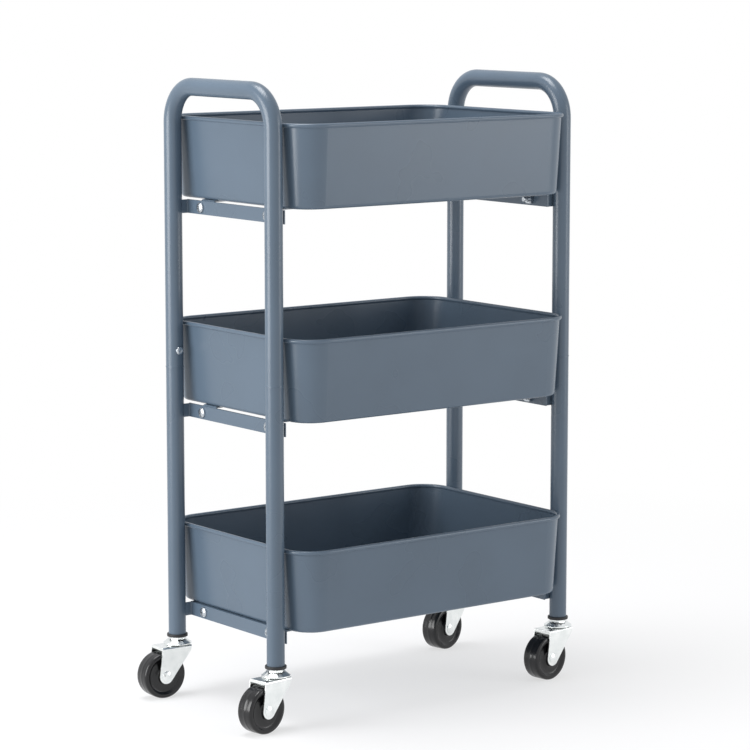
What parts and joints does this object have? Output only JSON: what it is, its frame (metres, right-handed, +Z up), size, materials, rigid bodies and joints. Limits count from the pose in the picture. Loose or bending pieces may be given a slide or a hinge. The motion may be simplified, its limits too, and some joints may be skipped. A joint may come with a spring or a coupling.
{
  "type": "rolling pantry cart",
  "caption": "Rolling kitchen cart: steel tube end frames with loop handles, pressed steel trays bolted between them, and swivel casters.",
  "frame": {"origin": "on the floor, under the middle of the cart's overall box with its casters trailing to -X; the frame's own middle is 15.25 mm towards +X", "axes": "+Z up, +X along the cart's length away from the trailing casters, +Y from its front to its rear"},
  "size_m": [0.4492, 0.258, 0.674],
  "materials": {
    "powder_coated_steel": "satin slate-blue powder coat",
    "zinc_hardware": "bright zinc plate",
    "plated_caster": "bright plated pressed steel",
    "bearing_steel": "ground",
    "socket_plastic": "moulded",
    "wheel_plastic": "satin moulded"
  },
  "bodies": {
    "frame": {"bottom_tray": "powder_coated_steel", "bottom_tray_bolts": "zinc_hardware", "bottom_tray_nuts": "zinc_hardware", "left_bottom_crossbar": "powder_coated_steel", "left_bottom_tray_bracket": "powder_coated_steel", "left_front_lower_post": "powder_coated_steel", "left_front_race_cup": "plated_caster", "left_front_socket": "socket_plastic", "left_front_stem": "plated_caster", "left_middle_crossbar": "powder_coated_steel", "left_middle_tray_bracket": "powder_coated_steel", "left_rear_lower_post": "powder_coated_steel", "left_rear_race_cup": "plated_caster", "left_rear_socket": "socket_plastic", "left_rear_stem": "plated_caster", "left_top_crossbar": "powder_coated_steel", "left_top_tray_bracket": "powder_coated_steel", "left_upper_frame": "powder_coated_steel", "middle_tray": "powder_coated_steel", "middle_tray_bolts": "zinc_hardware", "middle_tray_nuts": "zinc_hardware", "right_bottom_crossbar": "powder_coated_steel", "right_bottom_tray_bracket": "powder_coated_steel", "right_front_lower_post": "powder_coated_steel", "right_front_race_cup": "plated_caster", "right_front_socket": "socket_plastic", "right_front_stem": "plated_caster", "right_middle_crossbar": "powder_coated_steel", "right_middle_tray_bracket": "powder_coated_steel", "right_rear_lower_post": "powder_coated_steel", "right_rear_race_cup": "plated_caster", "right_rear_socket": "socket_plastic", "right_rear_stem": "plated_caster", "right_top_crossbar": "powder_coated_steel", "right_top_tray_bracket": "powder_coated_steel", "right_upper_frame": "powder_coated_steel", "seam_screws": "zinc_hardware", "top_tray": "powder_coated_steel", "top_tray_bolts": "zinc_hardware", "top_tray_nuts": "zinc_hardware"},
    "left_front_caster": {"left_front_fork": "plated_caster", "left_front_axle": "plated_caster", "left_front_race_balls": "bearing_steel"},
    "left_front_wheel": {"left_front_wheel": "wheel_plastic"},
    "left_rear_caster": {"left_rear_fork": "plated_caster", "left_rear_axle": "plated_caster", "left_rear_race_balls": "bearing_steel"},
    "left_rear_wheel": {"left_rear_wheel": "wheel_plastic"},
    "right_front_caster": {"right_front_fork": "plated_caster", "right_front_axle": "plated_caster", "right_front_race_balls": "bearing_steel"},
    "right_front_wheel": {"right_front_wheel": "wheel_plastic"},
    "right_rear_caster": {"right_rear_fork": "plated_caster", "right_rear_axle": "plated_caster", "right_rear_race_balls": "bearing_steel"},
    "right_rear_wheel": {"right_rear_wheel": "wheel_plastic"}
  },
  "joints": [
    {"name": "left_front_swivel", "type": "hinge", "parent": "frame", "child": "left_front_caster", "pos_m": [-0.17825, -0.09325, 0.0565], "axis": [0, 0, 1], "continuous": true},
    {"name": "left_front_roll", "type": "hinge", "parent": "left_front_caster", "child": "left_front_wheel", "pos_m": [-0.19905, -0.09617, 0.025], "axis": [-0.1392, 0.9903, 0], "continuous": true},
    {"name": "left_rear_swivel", "type": "hinge", "parent": "frame", "child": "left_rear_caster", "pos_m": [-0.17825, 0.09325, 0.0565], "axis": [0, 0, 1], "continuous": true},
    {"name": "left_rear_roll", "type": "hinge", "parent": "left_rear_caster", "child": "left_rear_wheel", "pos_m": [-0.19922, 0.09435, 0.025], "axis": [0.0523, 0.9986, 0], "continuous": true},
    {"name": "right_front_swivel", "type": "hinge", "parent": "frame", "child": "right_front_caster", "pos_m": [0.20875, -0.09325, 0.0565], "axis": [0, 0, 1], "continuous": true},
    {"name": "right_front_roll", "type": "hinge", "parent": "right_front_caster", "child": "right_front_wheel", "pos_m": [0.18791, -0.09581, 0.025], "axis": [-0.1219, 0.9925, 0], "continuous": true},
    {"name": "right_rear_swivel", "type": "hinge", "parent": "frame", "child": "right_rear_caster", "pos_m": [0.20875, 0.09325, 0.0565], "axis": [0, 0, 1], "continuous": true},
    {"name": "right_rear_roll", "type": "hinge", "parent": "right_rear_caster", "child": "right_rear_wheel", "pos_m": [0.18814, 0.08924, 0.025], "axis": [-0.1908, 0.9816, 0], "continuous": true}
  ]
}
